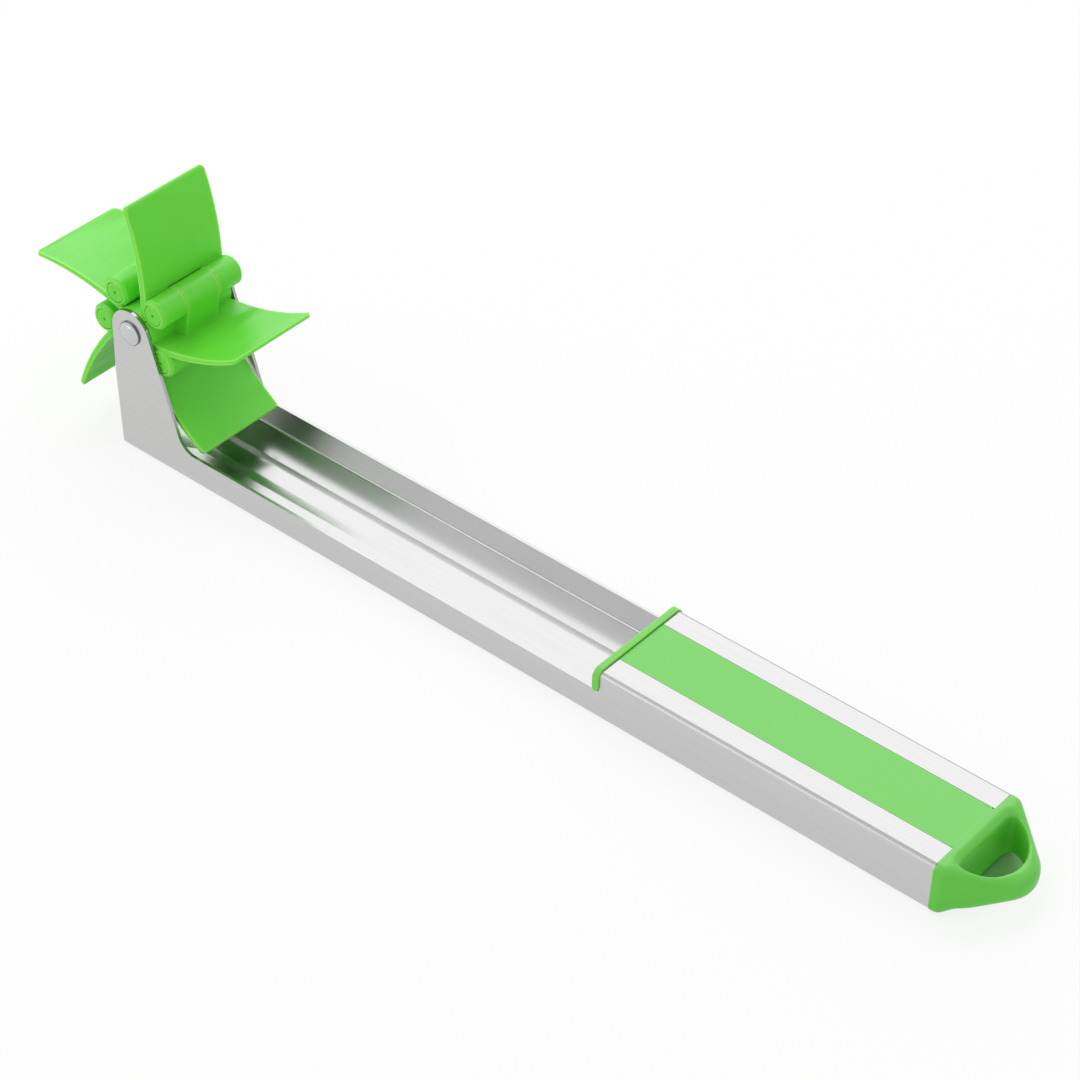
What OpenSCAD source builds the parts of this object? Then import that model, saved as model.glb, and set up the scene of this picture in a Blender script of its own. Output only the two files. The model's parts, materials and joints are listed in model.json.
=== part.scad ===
// Melon cutter: a folded steel channel with a five-vane rotor between two ears at its front,
// and a plastic core with a hang loop in the closed handle at its rear.
// X runs from the rotor to the hang loop, Y across the channel, and Z up from the underside.
// The origin is on the steel underside, straight below the axle.

/* [Steel body] */
// Length of the folded steel body, without the hang loop
body_len = 209.5; // [190:0.5:240]
// Outside width of the steel body
body_w = 25.5; // [24.5:0.5:28]
// Thickness of the steel sheet
sheet = 0.7; // [0.6:0.05:0.8]
// Outside radius of the folds
bend_r = 1.3; // [1.1:0.1:1.6]
// Height of the trough walls
trough_h = 7.2; // [6.5:0.1:8]
// Length of the closed handle
handle_len = 77.8; // [70:0.2:90]
// Height of the closed handle
handle_h = 11.8; // [11:0.2:14]
// Width of the slot along the top of the handle
slot_w = 13.8; // [12:0.2:15]

/* [Ears] */
// Distance of the axle from the front edge
axle_x = 4.3; // [4:0.1:5]
// Height of the axle above the underside
axle_z = 31.3; // [31:0.1:33]
// Radius of the round top of an ear
ear_r = 5.3; // [5:0.1:6]
// Angle that the rear edge of an ear leans from upright, in degrees
ear_lean = 18.8; // [15:0.2:21]
// Radius of the hollow corner where an ear runs into the trough wall
ear_fillet = 4.6; // [3:0.2:6]

/* [Floor bead] */
// Width of the raised bead along the trough floor, at its foot
bead_w = 8.2; // [6:0.2:9]
// Height of the bead above the floor
bead_h = 0.45; // [0.3:0.05:0.5]
// Width of each sloping side of the bead
bead_slope_w = 2; // [1:0.1:2.4]
// Distance from the front edge to the middle of the bead's round front end
bead_x = 14; // [13:0.5:30]
// Distance from the bead's rear end to the collar
bead_stop = 7; // [5:0.5:20]

/* [Axle] */
// Diameter of the rivet's shank
rivet_d = 4; // [3.6:0.1:4.4]
// Diameter of the rivet's domed heads
rivet_head_d = 6.1; // [5.6:0.1:7]
// Height of a head above the ear
rivet_head_h = 1.3; // [1:0.1:1.6]
// Height of the flat rim round a head's dome
rivet_rim_h = 0.4; // [0.2:0.1:0.6]
// Width of the flat rim
rivet_rim_w = 0.45; // [0.3:0.05:0.6]
// Outside diameter of the spacer sleeve that the rotor turns on
spacer_d = 7; // [6.4:0.1:7.2]

/* [Rotor] */
// Radius from the axle to a vane's tip
vane_r = 29.9; // [28.5:0.1:30]
// Thickness of a vane at the lowest point of its curve
vane_t = 1.4; // [1.2:0.05:1.6]
// Shift of the hollow face's centre, which thins a vane towards its tip
vane_taper_w = 1.6; // [0:0.1:1.8]
// Radius of a vane's curve
vane_bow_r = 60; // [54:1:70]
// Radius of the corners at a vane's tip
vane_corner_r = 1.2; // [0.8:0.1:3]
// Angle of the first vane's tip above the handle, in degrees
rotor_rest = 12.2; // [10:0.2:14]
// Outside radius of the hub that the vanes close round the sleeve
hub_r = 5.4; // [5.2:0.05:5.6]
// Outside radius of a knuckle
knuckle_r = 3.35; // [3.2:0.05:3.4]
// Width of the sloping edge at the end of an outer knuckle
knuckle_edge_w = 0.6; // [0.3:0.1:0.7]
// Radius of a vane pin
vane_pin_r = 2.35; // [2.2:0.05:2.4]
// Width of the sloping edge at the end of a vane pin
pin_edge_w = 0.25; // [0.15:0.05:0.4]
// Radius of the dimple in the end of a vane pin
dimple_r = 0.45; // [0.3:0.05:0.6]

/* [Grip] */
// Width of the collar along the handle
collar_t = 1.9; // [1.6:0.1:2.6]
// How far the collar stands out from the steel
collar_proud = 0.45; // [0.3:0.05:0.8]
// Radius of the collar's top corners
collar_r = 1.9; // [1.6:0.1:2.8]
// Length of the spigot that holds the collar in the core
spigot_len = 9; // [6:0.5:14]
// Wall thickness of the plastic core
core_wall = 1.8; // [1.5:0.1:2.2]
// Thickness of the ribs inside the core
rib_t = 1.4; // [1.2:0.1:1.8]
// Number of hollows along the core
pocket_n = 5; // [3:1:7]
// Radius of the snap bosses in the handle floor
snap_r = 2.4; // [2:0.1:3]

/* [Hang loop] */
// How far the end cap reaches behind the steel
cap_len = 14; // [13:0.1:17]
// Length of the end cap's straight sides
cap_flange = 2; // [1:0.1:2.4]
// How far the end cap's sides stand out from the steel
cap_proud = 0.35; // [0.2:0.05:0.6]
// Radius of the loop's rounded end, seen from above
loop_r = 7.15; // [6.8:0.05:7.6]
// Radius of the loop's outer edges
loop_edge_r = 2.2; // [1.4:0.1:2.4]
// Distance from the steel to the straight side of the hole
hole_x = 2.7; // [2.4:0.1:3.2]
// Radius of the hole's round side
hole_r = 9; // [8.6:0.1:9]
// Distance from the steel to the centre of the round side
hole_mid = 1.5; // [1.2:0.1:1.6]
// Radius of the hole's corners
hole_corner_r = 1.6; // [1:0.1:2.4]
// Width of the sloping rim round the hole
hole_rim = 0.8; // [0.4:0.1:0.9]
// Height of the loop's underside at its end
loop_lift = 3.4; // [3:0.1:4]
// Height of the loop's top at its end
loop_top = 9.2; // [8.8:0.1:10]

/* [Fits] */
// Gap between the rotor and the channel on each side
rotor_gap = 0.3; // [0.3:0.05:0.4]
// How far a vane's blade stays back from the rotor's ends
blade_inset = 0.45; // [0.3:0.05:0.6]
// Clearance of the plastic in the steel
core_fit = 0.1; // [0.05:0.05:0.2]
// Gap of the seam between the collar and the strip
seam = 0.25; // [0.15:0.05:0.4]
// Running clearance on the radius, between the hub and the sleeve
run_fit = 0.08; // [0.05:0.01:0.1]
// Clearance on the radius of a pin or rivet in its hole
pin_fit = 0.05; // [0.03:0.01:0.08]
// Gap between neighbouring knuckles
knuckle_gap = 0.15; // [0.1:0.05:0.3]

/* [Hidden] */
$fn = 96;

steel_colour = "#c4c6c8";
vane_colour = "#6bcf4a";
core_colour = "#8fd97b";
collar_colour = "#8fe470";
cut = sheet / 2; // overrun of every cut

// Places called _x are taken from the steel's front edge, which lies at front_x
front_x = -axle_x;
handle_x = body_len - handle_len;
collar_x = handle_x - collar_t;
inner_w = body_w - 2 * sheet;
plug_w = inner_w - 2 * core_fit;
core_z = sheet + core_fit;
spigot = [plug_w - 4 * core_wall, handle_h - 4 * core_wall];
snap_shares = [0.28, 0.78]; // of the handle's length, where the snap bosses stand
ear_top = axle_z + ear_r;

// The front edge of an ear leans forward up to this share of the axle's height, then is upright
ear_knee_share = 0.6;

rotor_w = inner_w - 2 * rotor_gap;
vane_w = rotor_w - 2 * blade_inset;
vane_spread = [0, 80.6, 156.8, 220.3, 296.6, 360]; // the vanes' angles from the first, and the full turn
knuckle_angle = -45; // from a vane's tip to its outer knuckles
knuckle_circle_r = hub_r + knuckle_r + knuckle_gap;
knuckle_shares = [0.3, 0.4, 0.3]; // of the rotor's width: near, middle and far knuckle
outer_w = rotor_w * knuckle_shares[0] - knuckle_gap / 2;
middle_w = rotor_w * knuckle_shares[1] - knuckle_gap;
hub_seam = 0.8; // angle left open at each end of a hub part

// Shares of a vane's radius at which its blade leaves the hub, its tab lands and its curve is lowest
blade_root_share = 0.14;
tab_foot_share = 0.255;
vane_bow_share = 0.335;
bow_at = [vane_r * vane_bow_share, sqrt(pow(vane_bow_r, 2) - pow(vane_r * (1 - vane_bow_share), 2))];

loop_x = body_len + cap_len - loop_r;
cap_w = body_w / 2 + cap_proud;
cap_slope = atan((handle_h - loop_top) / (cap_len - cap_flange - loop_edge_r)); // of the cap's top

function polar(r, a) = [r * cos(a), r * sin(a)];

// Where a straight side from the point p touches a circle of radius r round c, on its right
function touch(p, c, r) =
    let (d = norm(p - c), a = atan2(p.y - c.y, p.x - c.x), b = acos(r / d)) c + polar(r, a + b);

// Angle from the tip of vane i to its middle knuckle, which shares a pin with the next vane
function middle_angle(i) = knuckle_angle + vane_spread[i] - vane_spread[i - 1];

// X of an ear's rear edge at the height z, moved out by d
function ear_rear(z, d = 0) = axle_x + (ear_r + d - (z - axle_z) * sin(ear_lean)) / cos(ear_lean);

// Outlines in a plane

module box_2d(w, h, r) {
    translate([-w / 2, r]) square([w, h - 2 * r]);
    translate([r - w / 2, 0]) square([w - 2 * r, h]);
    for (x = [r - w / 2, w / 2 - r], y = [r, h - r]) translate([x, y]) circle(r);
}

module tub_2d(w, h, r) {
    translate([-w / 2, r]) square([w, h - r]);
    translate([r - w / 2, 0]) square([w - 2 * r, h]);
    for (x = [r - w / 2, w / 2 - r]) translate([x, r]) circle(r);
}

// Placing: an outline seen from the handle's end, run along X from x
module along_x(x, len) {
    translate([front_x + x, 0, 0]) rotate([90, 0, 90]) linear_extrude(len) children();
}

// An outline seen from the side, run across the width
module across_y(w) {
    translate([front_x, 0, 0]) rotate([90, 0, 0]) linear_extrude(w, center = true) children();
}

// An outline seen from above, run up from z
module up_z(z, h) {
    translate([front_x, 0, z]) linear_extrude(h) children();
}

module at_axle() {
    translate([0, 0, axle_z]) children();
}

// A round bar along Y with its middle at the width y
module bar_y(r, len, y = 0) {
    translate([0, y, 0]) rotate([90, 0, 0]) cylinder(r = r, h = len, center = true);
}

// Steel body

module channel_2d(h) {
    difference() {
        tub_2d(body_w, h, bend_r);
        translate([0, sheet]) tub_2d(inner_w, h, bend_r - sheet);
    }
}

module handle_2d() {
    difference() {
        box_2d(body_w, handle_h, bend_r);
        translate([0, sheet]) box_2d(inner_w, handle_h - 2 * sheet, bend_r - sheet);
        translate([-slot_w / 2, handle_h / 2]) square([slot_w, handle_h]);
    }
}

module ear_2d() {
    rear_top = [axle_x, axle_z] + polar(ear_r, ear_lean);
    fillet_z = trough_h + ear_fillet;
    fillet_at = [ear_rear(fillet_z, ear_fillet), fillet_z];
    translate([axle_x, axle_z]) circle(ear_r);
    polygon([
        [0, 0],
        [axle_x - ear_r, axle_z * ear_knee_share],
        [axle_x - ear_r, axle_z],
        [axle_x, axle_z],
        rear_top,
        [ear_rear(0), 0]
    ]);
    difference() {
        polygon([
            [ear_rear(trough_h - cut), trough_h - cut],
            [fillet_at.x, trough_h - cut],
            fillet_at,
            fillet_at - polar(ear_fillet, ear_lean)
        ]);
        translate(fillet_at) circle(ear_fillet);
    }
}

module side_2d() {
    ear_2d();
    square([handle_x, trough_h]);
}

// The bead's form, a stripe with sloping sides and round ends, standing on z = 0
module bead() {
    rear_x = collar_x - bead_stop;
    top_w = bead_w - 2 * bead_slope_w;
    along_x(bead_x, rear_x - bead_x)
        polygon([[-bead_w / 2, 0], [bead_w / 2, 0], [top_w / 2, bead_h], [-top_w / 2, bead_h]]);
    for (x = [bead_x, rear_x])
        translate([front_x + x, 0, 0]) cylinder(h = bead_h, d1 = bead_w, d2 = top_w);
}

module at_snaps() {
    for (share = snap_shares) translate([front_x + handle_x + handle_len * share, 0, 0]) children();
}

module channel_body() {
    color(steel_colour) difference() {
        union() {
            intersection() {
                along_x(axle_x - ear_r, handle_x + ear_r - axle_x) channel_2d(ear_top);
                across_y(body_w) side_2d();
            }
            along_x(handle_x, handle_len) handle_2d();
            translate([0, 0, sheet]) bead();
        }
        bead();
        at_axle() bar_y(rivet_d / 2 + pin_fit, body_w + 2 * cut);
        at_snaps() translate([0, 0, -cut]) cylinder(r = snap_r, h = sheet + 2 * cut);
    }
}

// Axle

module rivet_head() {
    dome_d = rivet_head_d - 2 * rivet_rim_w;
    dome_h = rivet_head_h - rivet_rim_h;
    dome_r = (pow(dome_d / 2, 2) + pow(dome_h, 2)) / (2 * dome_h);
    cylinder(d = rivet_head_d, h = rivet_rim_h);
    intersection() {
        translate([0, 0, rivet_head_h - dome_r]) sphere(dome_r);
        cylinder(d = dome_d, h = rivet_head_h);
    }
}

module axle_rivet() {
    color(steel_colour) at_axle() {
        bar_y(rivet_d / 2, body_w + 2 * cut);
        for (side = [-1, 1]) translate([0, side * body_w / 2, 0]) rotate([-90 * side, 0, 0]) rivet_head();
    }
}

module spacer_sleeve() {
    color(steel_colour) at_axle() difference() {
        bar_y(spacer_d / 2, inner_w);
        bar_y(rivet_d / 2 + pin_fit, body_w);
    }
}

// Rotor. Outlines of a vane lie about the axle, with the tip on their X axis.

module blade_2d() {
    face_r = vane_bow_r + vane_t / 2;
    hollow_r = vane_bow_r - vane_t / 2;
    tip_t = vane_t - vane_taper_w * (vane_r - bow_at.x) / vane_bow_r;
    tip_turn = -acos((vane_r - tip_t / 2 - bow_at.x) / (face_r - tip_t / 2));
    root_x = vane_r * blade_root_share;
    difference() {
        intersection() {
            translate(bow_at) circle(face_r, $fn = 360);
            polygon([
                [root_x, bow_at.y],
                bow_at,
                bow_at + polar(2 * face_r, tip_turn),
                [root_x, bow_at.y - 2 * face_r]
            ]);
        }
        translate(bow_at + [vane_taper_w, 0]) circle(hollow_r, $fn = 360);
    }
    translate(bow_at + polar(face_r - tip_t / 2, tip_turn)) circle(tip_t / 2);
}

module hub_2d(i) {
    from = knuckle_angle + hub_seam;
    to = middle_angle(i) - hub_seam;
    intersection() {
        difference() {
            circle(hub_r);
            circle(spacer_d / 2 + run_fit);
        }
        polygon([[0, 0], polar(2 * hub_r, from), polar(2 * hub_r, (from + to) / 2), polar(2 * hub_r, to)]);
    }
}

// The middle knuckle, with the tab that runs from its outer side down to the vane's root
module middle_knuckle_2d(i) {
    at = polar(knuckle_circle_r, middle_angle(i));
    foot = [vane_r * tab_foot_share, bow_at.y - vane_bow_r];
    translate(at) circle(knuckle_r);
    polygon([
        polar(hub_r - run_fit, middle_angle(i) - hub_seam),
        at,
        touch(foot, at, knuckle_r),
        foot,
        polar(hub_r - run_fit, knuckle_angle * 3 / 4)
    ]);
}

module in_vane(i) {
    at_axle() rotate([0, -(rotor_rest + vane_spread[i - 1]), 0]) children();
}

module run_y(w) {
    rotate([90, 0, 0]) linear_extrude(w, center = true) children();
}

// The middle of the knuckles at the given angle
module at_knuckle(angle) {
    translate([knuckle_circle_r * cos(angle), 0, knuckle_circle_r * sin(angle)]) children();
}

// A round bar from the width y to the rotor's end on the given side, with a sloping edge there
module end_bar(r, y, edge, side) {
    len = rotor_w / 2 - y;
    translate([0, side * y, 0]) rotate([-90 * side, 0, 0]) {
        cylinder(r = r, h = len - edge);
        translate([0, 0, len - edge]) cylinder(h = edge, r1 = r, r2 = r - edge);
    }
}

// A blade with rounded corners at its tip
module blade() {
    intersection() {
        run_y(vane_w) blade_2d();
        translate([vane_r / 2, 0, -vane_r / 2]) linear_extrude(vane_r)
            translate([0, -vane_w / 2]) box_2d(vane_r, vane_w, vane_corner_r);
    }
}

module vane(i) {
    color(vane_colour) in_vane(i) difference() {
        union() {
            difference() {
                union() {
                    blade();
                    run_y(middle_w) middle_knuckle_2d(i);
                }
                at_knuckle(knuckle_angle) bar_y(knuckle_r + knuckle_gap, middle_w + 2 * knuckle_gap);
            }
            run_y(rotor_w) hub_2d(i);
            at_knuckle(knuckle_angle) for (side = [-1, 1])
                end_bar(knuckle_r, rotor_w / 2 - outer_w, knuckle_edge_w, side);
        }
        for (angle = [knuckle_angle, middle_angle(i)])
            at_knuckle(angle) bar_y(vane_pin_r + pin_fit, rotor_w + 2 * cut);
    }
}

module vane_pin(i) {
    color(vane_colour) in_vane(i) at_knuckle(knuckle_angle) difference() {
        for (side = [-1, 1]) end_bar(vane_pin_r, 0, pin_edge_w, side);
        for (side = [-1, 1]) bar_y(dimple_r, 2 * dimple_r, side * rotor_w / 2);
    }
}

// Grip

module core_2d() {
    translate([0, core_z]) box_2d(plug_w, handle_h - 2 * core_z, bend_r - sheet);
    translate([core_fit - slot_w / 2, handle_h / 2]) square([slot_w - 2 * core_fit, handle_h / 2]);
}

module hang_hole_2d(grow = 0) {
    intersection() {
        translate([body_len + hole_x + hole_r - grow, -hole_r - grow])
            box_2d(2 * (hole_r + grow), 2 * (hole_r + grow), hole_corner_r + grow);
        translate([body_len + hole_mid, 0]) circle(hole_r + grow);
    }
}

// The hole with its sloping upper rim, which follows the fall of the cap's top
module hang_hole() {
    up_z(-cut, handle_h + 2 * cut) hang_hole_2d();
    translate([front_x + body_len + cap_flange, 0, handle_h]) rotate([0, cap_slope, 0])
        translate([-front_x - body_len - cap_flange, 0, 0]) hull() {
            up_z(-hole_rim, cut) hang_hole_2d($fn = 64);
            up_z(0, cut) hang_hole_2d(hole_rim, $fn = 64);
        }
}

// A flange that narrows and thins to the round end of the loop, with soft edges
module end_cap() {
    hull() {
        along_x(body_len, cap_flange) box_2d(2 * cap_w, handle_h, bend_r + cap_proud, $fn = 32);
        translate([front_x + loop_x, 0, 0]) rotate([0, 0, -90]) rotate_extrude(angle = 180, $fn = 64)
            for (z = [loop_lift + loop_edge_r, loop_top - loop_edge_r])
                translate([loop_r - loop_edge_r, z]) circle(loop_edge_r, $fn = 32);
    }
}

module handle_core() {
    run = handle_len - seam - spigot_len - 2 * core_wall;
    pitch = (run - rib_t) / pocket_n;
    pocket_w = (plug_w - 2 * core_wall - rib_t) / 2;
    pocket_h = handle_h - sheet - 2 * core_wall;
    color(core_colour) {
        difference() {
            union() {
                along_x(handle_x + seam, handle_len - seam + cut) core_2d();
                end_cap();
            }
            hang_hole();
            along_x(handle_x, spigot_len + core_fit) translate([0, 2 * core_wall - core_fit])
                square_mid(spigot.x + 2 * core_fit, spigot.y + 2 * core_fit);
            for (i = [0:pocket_n - 1], side = [-1, 1])
                translate([
                    front_x + handle_x + seam + spigot_len + core_wall + i * pitch + rib_t,
                    side * (pocket_w + rib_t) / 2 - pocket_w / 2,
                    sheet - cut
                ]) cube([pitch - rib_t, pocket_w, pocket_h]);
        }
        at_snaps() translate([0, 0, core_fit]) cylinder(r = snap_r - core_fit, h = pocket_h + core_wall);
    }
}

// A rectangle that stands on its own X axis
module square_mid(w, h) {
    translate([-w / 2, 0]) square([w, h]);
}

module collar_plug() {
    color(collar_colour) {
        along_x(collar_x, collar_t) translate([0, core_z]) tub_2d(plug_w, trough_h, bend_r - sheet);
        intersection() {
            along_x(collar_x, collar_t)
                box_2d(body_w + 2 * collar_proud, handle_h + collar_proud, collar_r);
            across_y(body_w + 2 * collar_proud) {
                translate([collar_x + collar_t / 2, trough_h + collar_t / 2]) circle(collar_t / 2);
                translate([collar_x, trough_h + collar_t / 2]) square([collar_t, handle_h]);
            }
        }
        along_x(handle_x - cut, spigot_len + cut) difference() {
            translate([0, 2 * core_wall]) square_mid(spigot.x, spigot.y);
            translate([0, 3 * core_wall]) square_mid(spigot.x - 2 * core_wall, spigot.y - 2 * core_wall);
        }
    }
}

channel_body();
axle_rivet();
spacer_sleeve();
vane(1);  // vane_1
vane(2);  // vane_2
vane(3);  // vane_3
vane(4);  // vane_4
vane(5);  // vane_5
vane_pin(1);  // vane_pin_1
vane_pin(2);  // vane_pin_2
vane_pin(3);  // vane_pin_3
vane_pin(4);  // vane_pin_4
vane_pin(5);  // vane_pin_5
handle_core();
collar_plug();
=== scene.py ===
import json
import math

import bmesh
import bpy
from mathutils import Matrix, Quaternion, Vector


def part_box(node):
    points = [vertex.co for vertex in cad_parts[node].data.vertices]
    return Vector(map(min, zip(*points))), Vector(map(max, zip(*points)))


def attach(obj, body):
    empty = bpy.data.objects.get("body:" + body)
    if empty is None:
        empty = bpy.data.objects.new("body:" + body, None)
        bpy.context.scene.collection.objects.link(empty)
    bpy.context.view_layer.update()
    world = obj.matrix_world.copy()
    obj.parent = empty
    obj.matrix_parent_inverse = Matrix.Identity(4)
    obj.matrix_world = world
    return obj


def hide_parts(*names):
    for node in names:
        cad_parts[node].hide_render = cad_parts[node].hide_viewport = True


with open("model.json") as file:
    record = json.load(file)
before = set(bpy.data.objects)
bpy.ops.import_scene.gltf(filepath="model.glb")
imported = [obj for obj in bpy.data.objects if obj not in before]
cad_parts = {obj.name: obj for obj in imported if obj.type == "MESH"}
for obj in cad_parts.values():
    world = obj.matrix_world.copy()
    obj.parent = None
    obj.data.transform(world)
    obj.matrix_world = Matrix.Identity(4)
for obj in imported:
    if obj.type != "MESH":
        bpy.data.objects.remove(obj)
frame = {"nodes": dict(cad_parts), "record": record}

# Melon cutter: a bright steel channel, a green rotor and a green plastic handle core.
# Lengths are in metres. X runs from the rotor to the hang loop, Z up from the steel's underside.

mm = 0.001
scene = bpy.context.scene
nodes = frame["nodes"]
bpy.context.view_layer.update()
axleHeight = frame["record"]["behaviour"]["joints"][0]["pos_m"][2]  # the rotor's hinge
print("frame loaded,", len(nodes), "parts")


# A hex code as linear light
def srgb(hexCode):
    channels = [int(hexCode[i:i + 2], 16) / 255 for i in (1, 3, 5)]
    return [c / 12.92 if c <= 0.04045 else ((c + 0.055) / 1.055) ** 2.4 for c in channels] + [1]


# A link that names a node takes the node's result
def addNode(tree, kind, inputs=None, links=None, **settings):
    node = tree.nodes.new(kind)
    for name, value in settings.items():
        setattr(node, name, value)
    for socket, value in (inputs or {}).items():
        node.inputs[socket].default_value = value
    for socket, source in (links or {}).items():
        if isinstance(source, bpy.types.Node):
            source = next(output for output in source.outputs if output.enabled)
        tree.links.new(source, node.inputs[socket])
    return node


def newMaterial(name):
    material = bpy.data.materials.new(name)
    material.use_nodes = True
    tree = material.node_tree
    tree.nodes.clear()
    return material, tree


noiseSpan = {"From Min": 0.3, "From Max": 0.7}  # most of a noise texture's values lie in here


# How far a point lies from the axle, which runs along Y
def axleDistance(tree, coords):
    fromAxle = addNode(tree, "ShaderNodeVectorMath", operation="MULTIPLY_ADD",
                       links={0: coords.outputs["Object"]},
                       inputs={1: (1, 0, 1), 2: (0, 0, -axleHeight)})
    return addNode(tree, "ShaderNodeVectorMath", operation="LENGTH", links={0: fromAxle})


# Steel

steelSheet = {
    "colourWall": "#CBCACA",
    "colourInsidePaintedLight": "#D6D6D6",  # painted light: the walls inside the trough are painted lighter
    # painted shade: level faces are painted darker so the softbox's reflection keeps its tone
    "colourLevelPaintedShade": "#AEAEAE",
    "wallFrom": 0.35,  # how far a face's normal leans sideways where it begins to be a wall
    "wallFull": 0.8,
    "dulling": 0.95,  # what the darkest rolling lines keep of the colour
    "roughWall": 0.3,
    "roughLevel": 0.2,
    "roughSpread": 0.03,
    "roughFold": 0.3,  # added where the sheet is stretched round a fold
    "foldPaintedShade": 0.17,  # and how much darker the fold is painted, a painted shade that tones down its highlight
    "cloudSize": 18 * mm,
    "grainPitch": 0.35 * mm,  # rolling lines are finer, drawn this coarse so that they show
    "grainRun": 14 * mm,
    "grainDepth": 0.004 * mm,
    "grainStrength": 0.35,
}
foldPeak = 0.25  # the wall's share times the level's, halfway round a fold


# Ferritic stainless sheet, cold rolled and folded: an even satin grey on the walls and ears, with
# faint lines along the rolling direction, and a glossier skin on the trough's floor and the level
# lips, which mirrors the rotor. The level faces are painted darker and the walls inside the trough
# lighter, as painted shade and light. The folds are stretched, so they are a little rougher, and
# they are painted darker, a painted shade that tones down their highlight.
def makeSteelSheet():
    look = steelSheet
    material, tree = newMaterial("stainlessSheetColdRolled")
    coords = addNode(tree, "ShaderNodeTexCoord")
    surface = addNode(tree, "ShaderNodeNewGeometry")
    facing = addNode(tree, "ShaderNodeSeparateXYZ", links={"Vector": surface.outputs["Normal"]})
    upright = addNode(tree, "ShaderNodeMath", operation="ABSOLUTE", links={0: facing.outputs["Y"]})
    wall = addNode(tree, "ShaderNodeMapRange", links={"Value": upright},
                   inputs={"From Min": look["wallFrom"], "From Max": look["wallFull"]})
    along, across = 1 / look["grainRun"], 1 / look["grainPitch"]
    stretched = addNode(tree, "ShaderNodeMapping", links={"Vector": coords.outputs["Object"]},
                        inputs={"Scale": (along, across, across)})
    grain = addNode(tree, "ShaderNodeTexNoise", links={"Vector": stretched},
                    inputs={"Scale": 1, "Detail": 3, "Roughness": 0.55})
    cloud = addNode(tree, "ShaderNodeTexNoise", links={"Vector": coords.outputs["Object"]},
                    inputs={"Scale": 1 / look["cloudSize"], "Detail": 2})
    lines = addNode(tree, "ShaderNodeMapRange", links={"Value": grain},
                    inputs={**noiseSpan, "To Min": look["dulling"], "To Max": 1})
    # A wall is an inside one where its normal points back to the middle
    place = addNode(tree, "ShaderNodeSeparateXYZ", links={"Vector": coords.outputs["Object"]})
    outward = addNode(tree, "ShaderNodeMath", operation="MULTIPLY",
                      links={0: place.outputs["Y"], 1: facing.outputs["Y"]})
    inside = addNode(tree, "ShaderNodeMath", operation="LESS_THAN", links={0: outward},
                     inputs={1: 0})
    # Painted light and shade: inside walls are painted lighter, level faces darker
    wallToneWithPaintedLight = addNode(tree, "ShaderNodeMix", data_type="RGBA", links={"Factor": inside},
                       inputs={"A": srgb(look["colourWall"]), "B": srgb(look["colourInsidePaintedLight"])})
    skin = addNode(tree, "ShaderNodeMix", data_type="RGBA", links={"Factor": wall, "B": wallToneWithPaintedLight},
                   inputs={"A": srgb(look["colourLevelPaintedShade"])})
    rough = addNode(tree, "ShaderNodeMapRange", links={"Value": wall},
                    inputs={"To Min": look["roughLevel"], "To Max": look["roughWall"]})
    roughSpread = addNode(tree, "ShaderNodeMapRange", links={"Value": cloud},
                          inputs={"To Min": -look["roughSpread"], "To Max": look["roughSpread"]})
    # Painted shade: folds are painted darker, toning down their highlight; the rolling lines are
    # real grain
    level = addNode(tree, "ShaderNodeMath", operation="SUBTRACT", inputs={0: 1}, links={1: wall})
    fold = addNode(tree, "ShaderNodeMath", operation="MULTIPLY", links={0: wall, 1: level})
    grainAndFoldShade = addNode(tree, "ShaderNodeMath", operation="MULTIPLY_ADD", links={0: fold, 2: lines},
                     inputs={1: -look["foldPaintedShade"] / foldPeak})
    colour = addNode(tree, "ShaderNodeVectorMath", operation="SCALE",
                     links={0: skin, "Scale": grainAndFoldShade})
    roughFold = addNode(tree, "ShaderNodeMath", operation="MULTIPLY_ADD",
                        links={0: fold, 2: roughSpread}, inputs={1: look["roughFold"] / foldPeak})
    roughAll = addNode(tree, "ShaderNodeMath", operation="ADD", links={0: rough, 1: roughFold})
    bump = addNode(tree, "ShaderNodeBump", links={"Height": grain},
                   inputs={"Strength": look["grainStrength"], "Distance": look["grainDepth"]})
    shader = addNode(tree, "ShaderNodeBsdfPrincipled", inputs={"Metallic": 1},
                     links={"Base Color": colour, "Roughness": roughAll, "Normal": bump})
    addNode(tree, "ShaderNodeOutputMaterial", links={"Surface": shader})
    return material


steelPin = {
    "colour": "#C8C9CB",
    "colourRimShade": "#808286",
    "rimShadeStart": 2.56 * mm,  # distance from the axle at which the painted shade at the head's rim begins
    "rimShadeBlend": 0.2 * mm,
    "rough": 0.22,
    "scuffSize": 1.5 * mm,
    "scuffDepth": 0.008 * mm,
    "scuffStrength": 0.3,
}


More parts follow.
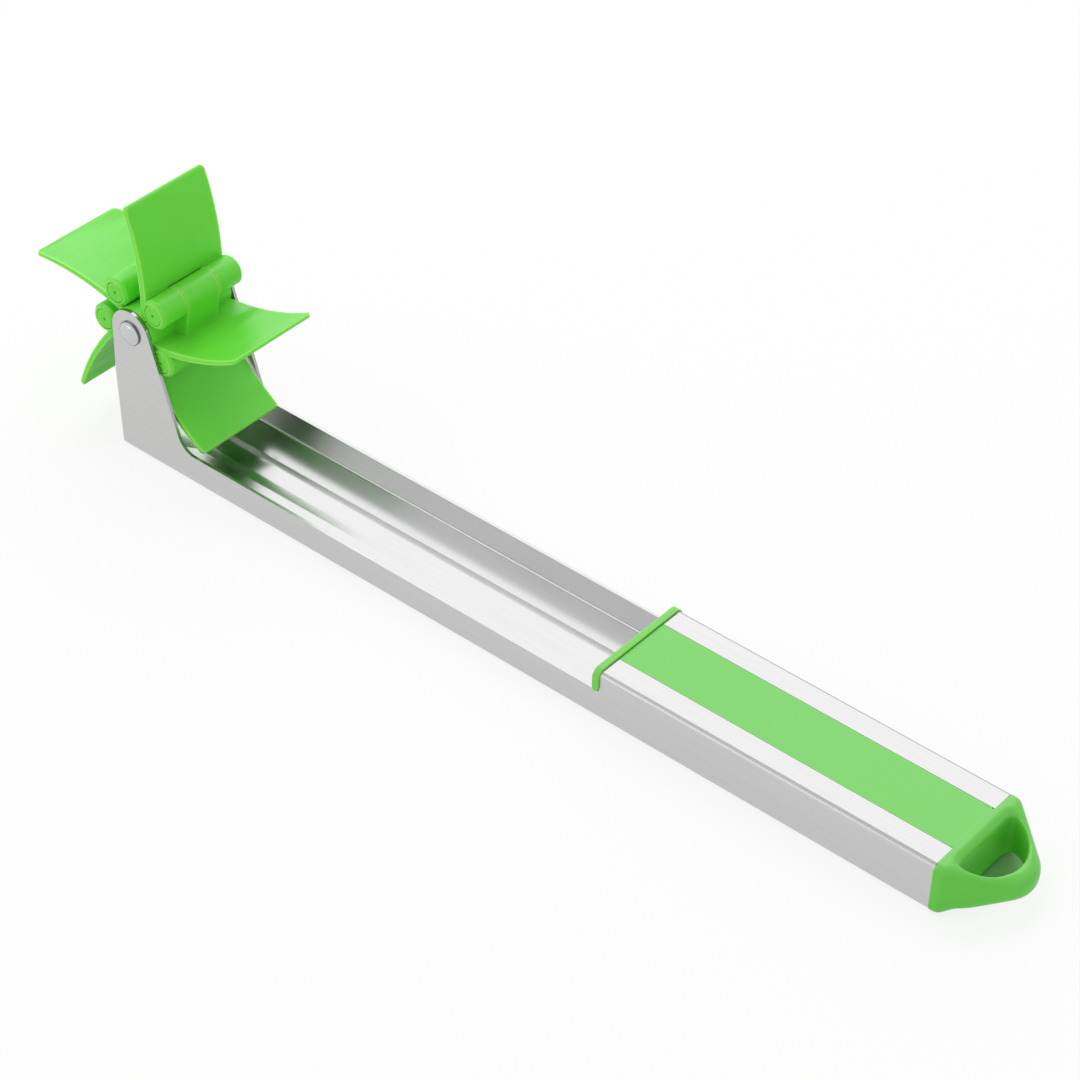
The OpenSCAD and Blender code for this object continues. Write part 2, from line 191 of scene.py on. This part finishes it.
# Turned and headed stainless wire: brighter than the sheet, with small scuffs from the heading tool
# and a painted shade line where the head's rim meets the ear.
def makeSteelPin():
    look = steelPin
    material, tree = newMaterial("stainlessWireHeaded")
    coords = addNode(tree, "ShaderNodeTexCoord")
    scuff = addNode(tree, "ShaderNodeTexNoise", links={"Vector": coords.outputs["Object"]},
                    inputs={"Scale": 1 / look["scuffSize"], "Detail": 2})
    # Painted shade: a dark ring where the head's rim meets the ear
    rimShadeEnd = look["rimShadeStart"] + look["rimShadeBlend"]
    rimShade = addNode(tree, "ShaderNodeMapRange", links={"Value": axleDistance(tree, coords)},
                   inputs={"From Min": look["rimShadeStart"], "From Max": rimShadeEnd})
    tint = addNode(tree, "ShaderNodeMix", data_type="RGBA", links={"Factor": rimShade},
                   inputs={"A": srgb(look["colour"]), "B": srgb(look["colourRimShade"])})
    bump = addNode(tree, "ShaderNodeBump", links={"Height": scuff},
                   inputs={"Strength": look["scuffStrength"], "Distance": look["scuffDepth"]})
    shader = addNode(tree, "ShaderNodeBsdfPrincipled",
                     inputs={"Metallic": 1, "Roughness": look["rough"]},
                     links={"Base Color": tint, "Normal": bump})
    addNode(tree, "ShaderNodeOutputMaterial", links={"Surface": shader})
    return material


# Plastics

moulding = {
    "jointReach": 10.5 * mm,  # within this distance from the axle the painted edge highlight is weaker, a painted shade
    "jointBlend": 1 * mm,
    "jointEdgeHighlight": 0.35,  # what is left there of the painted edge highlight
    "bendFrom": 0.98,  # 1 on a flat face, less where the rounded normal bends away at an edge
    "bendFull": 0.8,
    "topFrom": 0.2,  # how far a face's normal leans upwards where the painted sheen of a top begins
    "topFull": 0.95,
    "roughSpread": 0.04,
    "grainStrength": 0.4,
    "refraction": 1.49,
    "glowDepth": 1.2 * mm,
    "glowColour": (0.5, 1, 0.3),
}
vanePlastic = {
    "name": "polypropyleneMouldedGlossy",
    "colour": "#66D836",
    "colourPale": "#6EDD3F",
    "colourEdgeHighlight": "#A6EE6C",
    "edgeHighlightWidth": 1.15 * mm,
    "rough": 0.4,
    "sheenPaintedTop": 0.6,
    "sheenPaintedSide": 0.25,
    "glow": 0.4,  # share of light that wanders inside the thin blades
    "flowSize": 9 * mm,
    "grainSize": 0.5 * mm,  # tool marks are finer, drawn this coarse so that they show
    "grainDepth": 0.0015 * mm,
}
corePlastic = {
    "name": "absMouldedSatin",
    "colour": "#5EC83C",
    "colourPale": "#65CD43",
    "colourEdgeHighlight": "#78D853",
    "edgeHighlightWidth": 0.5 * mm,
    "rough": 0.34,
    "sheenPaintedTop": 0.8,
    "sheenPaintedSide": 0.35,
    "glow": 0,
    "flowSize": 16 * mm,
    "grainSize": 0.45 * mm,
    "grainDepth": 0.003 * mm,
}
collarPlastic = {
    "name": "absMouldedSemiGloss",
    "colour": "#70CE4A",
    "colourPale": "#79D453",
    "colourEdgeHighlight": "#8CE066",
    "edgeHighlightWidth": 0.5 * mm,
    "rough": 0.36,
    "sheenPaintedTop": 0.5,
    "sheenPaintedSide": 0.3,
    "glow": 0,
    "flowSize": 8 * mm,
    "grainSize": 0.45 * mm,
    "grainDepth": 0.002 * mm,
}


# Pigmented moulding: a deep, even green with broad flow tints, a fine tool texture that breaks up
# the gloss, and a painted highlight along the edges, weaker down in the rotor's joints as painted
# shade. Its top faces are given more specular than its sides, a painted sheen standing in for the
# room's light, and some light leaks through the blades.
def makePlastic(look):
    material, tree = newMaterial(look["name"])
    coords = addNode(tree, "ShaderNodeTexCoord")
    surface = addNode(tree, "ShaderNodeNewGeometry")
    flow = addNode(tree, "ShaderNodeTexNoise", links={"Vector": coords.outputs["Object"]},
                   inputs={"Scale": 1 / look["flowSize"], "Detail": 2})
    grain = addNode(tree, "ShaderNodeTexNoise", links={"Vector": coords.outputs["Object"]},
                    inputs={"Scale": 1 / look["grainSize"], "Detail": 3})
    tint = addNode(tree, "ShaderNodeMix", data_type="RGBA", links={"Factor": flow},
                   inputs={"A": srgb(look["colour"]), "B": srgb(look["colourPale"])})
    # Painted highlight: edges are tinted paler, less so near the axle as painted shade
    rounded = addNode(tree, "ShaderNodeBevel", samples=6, inputs={"Radius": look["edgeHighlightWidth"]})
    bend = addNode(tree, "ShaderNodeVectorMath", operation="DOT_PRODUCT",
                   links={0: surface.outputs["Normal"], 1: rounded})
    edge = addNode(tree, "ShaderNodeMapRange", links={"Value": bend},
                   inputs={"From Min": moulding["bendFrom"], "From Max": moulding["bendFull"]})
    jointEnd = moulding["jointReach"]
    outer = addNode(tree, "ShaderNodeMapRange", links={"Value": axleDistance(tree, coords)},
                    inputs={"From Min": jointEnd - moulding["jointBlend"], "From Max": jointEnd,
                            "To Min": moulding["jointEdgeHighlight"], "To Max": 1})
    edgeHighlightShare = addNode(tree, "ShaderNodeMath", operation="MULTIPLY", links={0: edge, 1: outer})
    colour = addNode(tree, "ShaderNodeMix", data_type="RGBA",
                     links={"Factor": edgeHighlightShare, "A": tint}, inputs={"B": srgb(look["colourEdgeHighlight"])})
    facing = addNode(tree, "ShaderNodeSeparateXYZ", links={"Vector": surface.outputs["Normal"]})
    # Painted sheen: top faces get a higher specular level than sides
    paintedSheen = addNode(tree, "ShaderNodeMapRange", links={"Value": facing.outputs["Z"]},
                    inputs={"From Min": moulding["topFrom"], "From Max": moulding["topFull"],
                            "To Min": look["sheenPaintedSide"], "To Max": look["sheenPaintedTop"]})
    smoothest = look["rough"] - moulding["roughSpread"]
    roughest = look["rough"] + moulding["roughSpread"]
    rough = addNode(tree, "ShaderNodeMapRange", links={"Value": flow},
                    inputs={**noiseSpan, "To Min": smoothest, "To Max": roughest})
    bump = addNode(tree, "ShaderNodeBump", links={"Height": grain},
                   inputs={"Strength": moulding["grainStrength"], "Distance": look["grainDepth"]})
    shader = addNode(tree, "ShaderNodeBsdfPrincipled",
                     inputs={"IOR": moulding["refraction"],
                             "Subsurface Weight": look["glow"],
                             "Subsurface Scale": moulding["glowDepth"],
                             "Subsurface Radius": moulding["glowColour"]},
                     links={"Base Color": colour, "Roughness": rough,
                            "Specular IOR Level": paintedSheen, "Normal": bump})
    addNode(tree, "ShaderNodeOutputMaterial", links={"Surface": shader})
    return material


slotMaterials = {
    "steel_body": makeSteelSheet(),
    "steel_pin": makeSteelPin(),
    "vane_plastic": makePlastic(vanePlastic),
    "core_plastic": makePlastic(corePlastic),
    "collar_plastic": makePlastic(collarPlastic),
}
slotOf = {part["node"]: part["material_slot"] for part in frame["record"]["subparts"]}
for name, slotName in slotOf.items():
    solid = nodes[name]
    for slot in solid.material_slots:
        slot.material = slotMaterials[slotName]
    if not solid.material_slots:
        solid.data.materials.append(slotMaterials[slotName])
print("materials set")

# Softened pieces: each stands for its solid, with the edges that a mould or a fold leaves round

weld = 0.001 * mm  # points this close become one
slack = 0.01 * mm  # how far off its line or level a point still counts as on it
cutSlack = 0.0001 * mm  # and this close to a cut, they lie on it
collarBand = {"seam": 127.7 * mm, "scale": 0.76}


# A node's solid as one welded skin. The collar's band, in front of the seam, is drawn in towards
# its front, and the sheet and the strip come forward with it.
def mergedShape(name):
    shape = bmesh.new()
    shape.from_mesh(nodes[name].data)
    bmesh.ops.remove_doubles(shape, verts=shape.verts, dist=weld)
    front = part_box("collar_plug")[0].x
    for point in shape.verts:
        if front < point.co.x < collarBand["seam"]:
            point.co.x = front + (point.co.x - front) * collarBand["scale"]
    return shape


def newPiece(name, shape):
    mesh = bpy.data.meshes.new(name)
    shape.to_mesh(mesh)
    shape.free()
    piece = bpy.data.objects.new(name, mesh)
    scene.collection.objects.link(piece)
    return piece


# Runs one modifier and keeps what it shows as a plain mesh
def reshape(piece, kind, **settings):
    modifier = piece.modifiers.new("reshape", kind)
    for name, value in settings.items():
        setattr(modifier, name, value)
    shown = piece.evaluated_get(bpy.context.evaluated_depsgraph_get())
    mesh = bpy.data.meshes.new_from_object(shown)
    piece.modifiers.clear()
    piece.data = mesh


def standFor(piece, name, body, sharpFrom):
    shape = bmesh.new()
    shape.from_mesh(piece.data)
    for face in shape.faces:
        face.smooth = True
    for edge in shape.edges:
        edge.smooth = edge.calc_face_angle(math.pi) < math.radians(sharpFrom)
    shape.to_mesh(piece.data)
    shape.free()
    piece.data.materials.clear()
    piece.data.materials.append(slotMaterials[slotOf[name]])
    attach(piece, body)
    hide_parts(name)


softEdge = {
    "vane": 0.42 * mm,
    "vane_pin": 0.12 * mm,
    "collar_plug": 0.35 * mm,
    "axle_rivet": 0.34 * mm,
}
edgeRound = {"steps": 3, "leastAngle": 32, "sharpFrom": 38}


def softenEdges(name, width, body, shape=None):
    piece = newPiece(name + "_soft", shape or mergedShape(name))
    reshape(piece, "BEVEL", width=width, segments=edgeRound["steps"], limit_method="ANGLE",
            angle_limit=math.radians(edgeRound["leastAngle"]))
    standFor(piece, name, body, edgeRound["sharpFrom"])


rivetHeads = {"from": 12.7 * mm, "scale": 0.92}


# The rivet with its heads, outside the ears, drawn in a little
def tightRivet():
    axle = Vector((0, 0, axleHeight))
    share = rivetHeads["scale"]
    shape = mergedShape("axle_rivet")
    for point in shape.verts:
        if abs(point.co.y) > rivetHeads["from"]:
            point.co = (point.co - axle) * Vector((share, 1, share)) + axle
    return shape


softBead = {
    "halfWidth": 4.5 * mm,  # the bead's edges lie within this distance from the middle
    "sheet": 0.7 * mm,
    "top": 1.2 * mm,
    "rise": 0.8,  # what is left of the bead's height
    "blend": 0.9 * mm,
    "steps": 4,
    "leastAngle": 6,  # degrees
    "sharpFrom": 30,
}


# The sheet, with a flatter bead whose slopes blend into the trough floor
def softenBead():
    bead = softBead
    shape = mergedShape("channel_body")
    for point in shape.verts:
        if abs(point.co.y) < bead["halfWidth"] and point.co.z < bead["top"]:
            base = bead["sheet"] if point.co.z > bead["sheet"] - slack else 0
            point.co.z = base + (point.co.z - base) * bead["rise"]
    weight = shape.edges.layers.float.new("bevel_weight_edge")
    for edge in shape.edges:
        start, end = (point.co for point in edge.verts)
        lengthwise = abs(start.y - end.y) < slack and abs(start.y) < bead["halfWidth"]
        if lengthwise and edge.calc_face_angle(0) > math.radians(bead["leastAngle"]):
            edge[weight] = 1
    piece = newPiece("channel_body_soft", shape)
    reshape(piece, "BEVEL", width=bead["blend"], segments=bead["steps"], limit_method="WEIGHT")
    standFor(piece, "channel_body", "body", bead["sharpFrom"])


# Cuts a shape across X and closes the cut
def cutAt(shape, x, keepRear):
    found = bmesh.ops.bisect_plane(shape, geom=shape.verts[:] + shape.edges[:] + shape.faces[:],
                                   dist=cutSlack, plane_co=(x, 0, 0), plane_no=(1, 0, 0),
                                   clear_inner=keepRear, clear_outer=not keepRear)
    rim = [item for item in found["geom_cut"] if isinstance(item, bmesh.types.BMEdge)]
    bmesh.ops.holes_fill(shape, edges=rim, sides=0)


def smoothStep(value, low, high):
    t = min(max((value - low) / (high - low), 0), 1)
    return t * t * (3 - 2 * t)


softCap = {
    "underSteel": 0.5 * mm,  # how far inside the steel the soft part begins
    "spare": 1 * mm,  # it is remeshed this much longer, and then cut back
    "voxel": 0.25 * mm,
    "rounds": 60,
    "strength": 0.5,
    "keptTo": 0.3 * mm,  # behind the steel, the lip keeps its edge up to here
    "softFrom": 2.2 * mm,
    "hollowAt": 4 * mm,
    "hollowRun": 1.6 * mm,
    "hollowRise": 0.6 * mm,
    "hollowFull": 1 * mm,  # the hollow fades out between these two heights
    "hollowEnd": 5 * mm,
    "sharpFrom": 40,
}


# The end cap is soft all round, and its underside is hollowed behind the foot. The strip in front
# of it, between the steel's lips, stays as the solid has it.
def softenCore():
    cap = softCap
    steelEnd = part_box("channel_body")[1].x
    seam = steelEnd - cap["underSteel"]
    rear = mergedShape("handle_core")
    cutAt(rear, seam - cap["spare"], True)
    piece = newPiece("handle_core_soft", rear)
    reshape(piece, "REMESH", mode="VOXEL", voxel_size=cap["voxel"])
    group = piece.vertex_groups.new(name="softPart")
    for point in piece.data.vertices:
        behind = point.co.x - steelEnd
        low = 1 - smoothStep(point.co.z, cap["hollowFull"], cap["hollowEnd"])
        dip = math.exp(-((behind - cap["hollowAt"]) / cap["hollowRun"]) ** 2)
        point.co.z += cap["hollowRise"] * low * dip
        group.add([point.index], smoothStep(behind, cap["keptTo"], cap["softFrom"]), "REPLACE")
    reshape(piece, "SMOOTH", factor=cap["strength"], iterations=cap["rounds"],
            vertex_group="softPart")
    shape = bmesh.new()
    shape.from_mesh(piece.data)
    cutAt(shape, seam, True)
    front = mergedShape("handle_core")
    cutAt(front, seam, False)
    frontMesh = bpy.data.meshes.new("coreFront")
    front.to_mesh(frontMesh)
    front.free()
    shape.from_mesh(frontMesh)
    bpy.data.meshes.remove(frontMesh)
    shape.to_mesh(piece.data)
    shape.free()
    standFor(piece, "handle_core", "body", cap["sharpFrom"])


vaneCount = 5
softenBead()
softenCore()
for number in range(1, vaneCount + 1):
    softenEdges("vane_%d" % number, softEdge["vane"], "rotor")
    softenEdges("vane_pin_%d" % number, softEdge["vane_pin"], "rotor")
softenEdges("collar_plug", softEdge["collar_plug"], "body")
softenEdges("axle_rivet", softEdge["axle_rivet"], "body", tightRivet())
print("pieces softened")

# Stage

white = "#FFFFFF"
stage = {
    "floorSize": 8,  # metres
    "floorDrop": 0.05 * mm,
    "paper": "#FCFCFC",
    "shadowShare": 0.2,  # how much of the floor's brightness comes from the lamps
    "loopShade": "#8CC084",  # the floor that the hang loop closes in
    "loopShadeAt": (209.2 * mm, 5.6 * mm, 0),
    "loopShadeSize": (4.8 * mm, 7 * mm),
    "loopShadeFull": 0.9,  # the shade fades out between these shares of its size
    "loopShadeEnd": 1.15,
    "roomLight": 0.72,
}


# 1 where a ray comes from the camera, straight or by way of a gloss, and 0 where it gathers light
def seenRays(tree):
    path = addNode(tree, "ShaderNodeLightPath")
    seen = addNode(tree, "ShaderNodeMath", operation="MAXIMUM",
                   links={0: path.outputs["Is Camera Ray"], 1: path.outputs["Is Glossy Ray"]})
    return addNode(tree, "ShaderNodeMath", operation="MAXIMUM",
                   links={0: seen, 1: path.outputs["Is Transmission Ray"]})


# Seamless white paper, flat and without sheen, with soft shadows and the shade under the hang loop
def makePaper():
    material, tree = newMaterial("paperSweepMatt")
    coords = addNode(tree, "ShaderNodeTexCoord")
    away = addNode(tree, "ShaderNodeVectorMath", operation="SUBTRACT",
                   links={0: coords.outputs["Object"]}, inputs={1: stage["loopShadeAt"]})
    width, depth = stage["loopShadeSize"]
    scaled = addNode(tree, "ShaderNodeVectorMath", operation="MULTIPLY", links={0: away},
                     inputs={1: (1 / width, 1 / depth, 0)})
    distance = addNode(tree, "ShaderNodeVectorMath", operation="LENGTH", links={0: scaled})
    openFloor = addNode(tree, "ShaderNodeMapRange", links={"Value": distance},
                        inputs={"From Min": stage["loopShadeFull"],
                                "From Max": stage["loopShadeEnd"]})
    whiteShare = addNode(tree, "ShaderNodeMath", operation="MULTIPLY", links={0: openFloor},
                         inputs={1: 1 - stage["shadowShare"]})
    share = addNode(tree, "ShaderNodeMath", operation="MULTIPLY",
                    links={0: seenRays(tree), 1: whiteShare})
    tone = addNode(tree, "ShaderNodeMix", data_type="RGBA", links={"Factor": openFloor},
                   inputs={"A": srgb(stage["loopShade"]), "B": srgb(stage["paper"])})
    lit = addNode(tree, "ShaderNodeBsdfDiffuse", links={"Color": tone})
    plain = addNode(tree, "ShaderNodeEmission", inputs={"Color": srgb(white), "Strength": 1})
    both = addNode(tree, "ShaderNodeMixShader", links={0: share, 1: lit, 2: plain})
    addNode(tree, "ShaderNodeOutputMaterial", links={"Surface": both})
    return material


def makeFloor():
    half = stage["floorSize"] / 2
    low = -stage["floorDrop"]
    corners = ((-half, -half, low), (half, -half, low), (half, half, low), (-half, half, low))
    mesh = bpy.data.meshes.new("studioFloor")
    mesh.from_pydata(corners, [], [(0, 1, 2, 3)])
    mesh.materials.append(makePaper())
    floor = bpy.data.objects.new("studioFloor", mesh)
    scene.collection.objects.link(floor)


def makeRoom():
    world = bpy.data.worlds.new("paleRoom")
    world.use_nodes = True
    tree = world.node_tree
    tree.nodes.clear()
    light = addNode(tree, "ShaderNodeMapRange", links={"Value": seenRays(tree)},
                    inputs={"To Min": stage["roomLight"], "To Max": 1})
    air = addNode(tree, "ShaderNodeBackground", inputs={"Color": srgb(white)},
                  links={"Strength": light})
    addNode(tree, "ShaderNodeOutputWorld", links={"Surface": air})
    scene.world = world


lampAim = Vector((0.1, 0, 0.02))
lamps = {
    "backSoftbox": {"place": (-0.45, 0.75, 0.85), "size": 1.3, "power": 6},
    "frontSoftbox": {"place": (-0.55, -0.7, 0.78), "size": 0.9, "power": 2.3},
}


def makeLamps():
    for name, values in lamps.items():
        light = bpy.data.lights.new(name, "AREA")
        light.shape = "SQUARE"
        light.size = values["size"]
        light.energy = values["power"]
        lamp = bpy.data.objects.new(name, light)
        scene.collection.objects.link(lamp)
        lamp.location = values["place"]
        lamp.rotation_euler = (lampAim - lamp.location).to_track_quat("-Z", "Y").to_euler()


makeFloor()
makeRoom()
makeLamps()
print("stage lit")

# Camera, fitted to the photograph: a long lens, raised about 40 degrees and turned slightly about
# its own axis

photoCamera = {
    "place": (0.4079, -0.3797, 0.4268),
    "forward": (-0.48455, 0.59929, -0.63723),
    "roll": 1.717,  # degrees
    "lens": 107.31,
    "sensor": 36,  # mm, as the lens
}


def makeCamera():
    data = bpy.data.cameras.new("photoCamera")
    data.lens = photoCamera["lens"]
    data.sensor_width = photoCamera["sensor"]
    camera = bpy.data.objects.new("photoCamera", data)
    scene.collection.objects.link(camera)
    forward = Vector(photoCamera["forward"]).normalized()
    level = forward.to_track_quat("-Z", "Y")
    roll = Quaternion(-forward, math.radians(photoCamera["roll"]))
    camera.rotation_mode = "QUATERNION"
    camera.rotation_quaternion = roll @ level
    camera.location = photoCamera["place"]
    scene.camera = camera


makeCamera()
scene.view_settings.view_transform = "Standard"
print("camera placed")
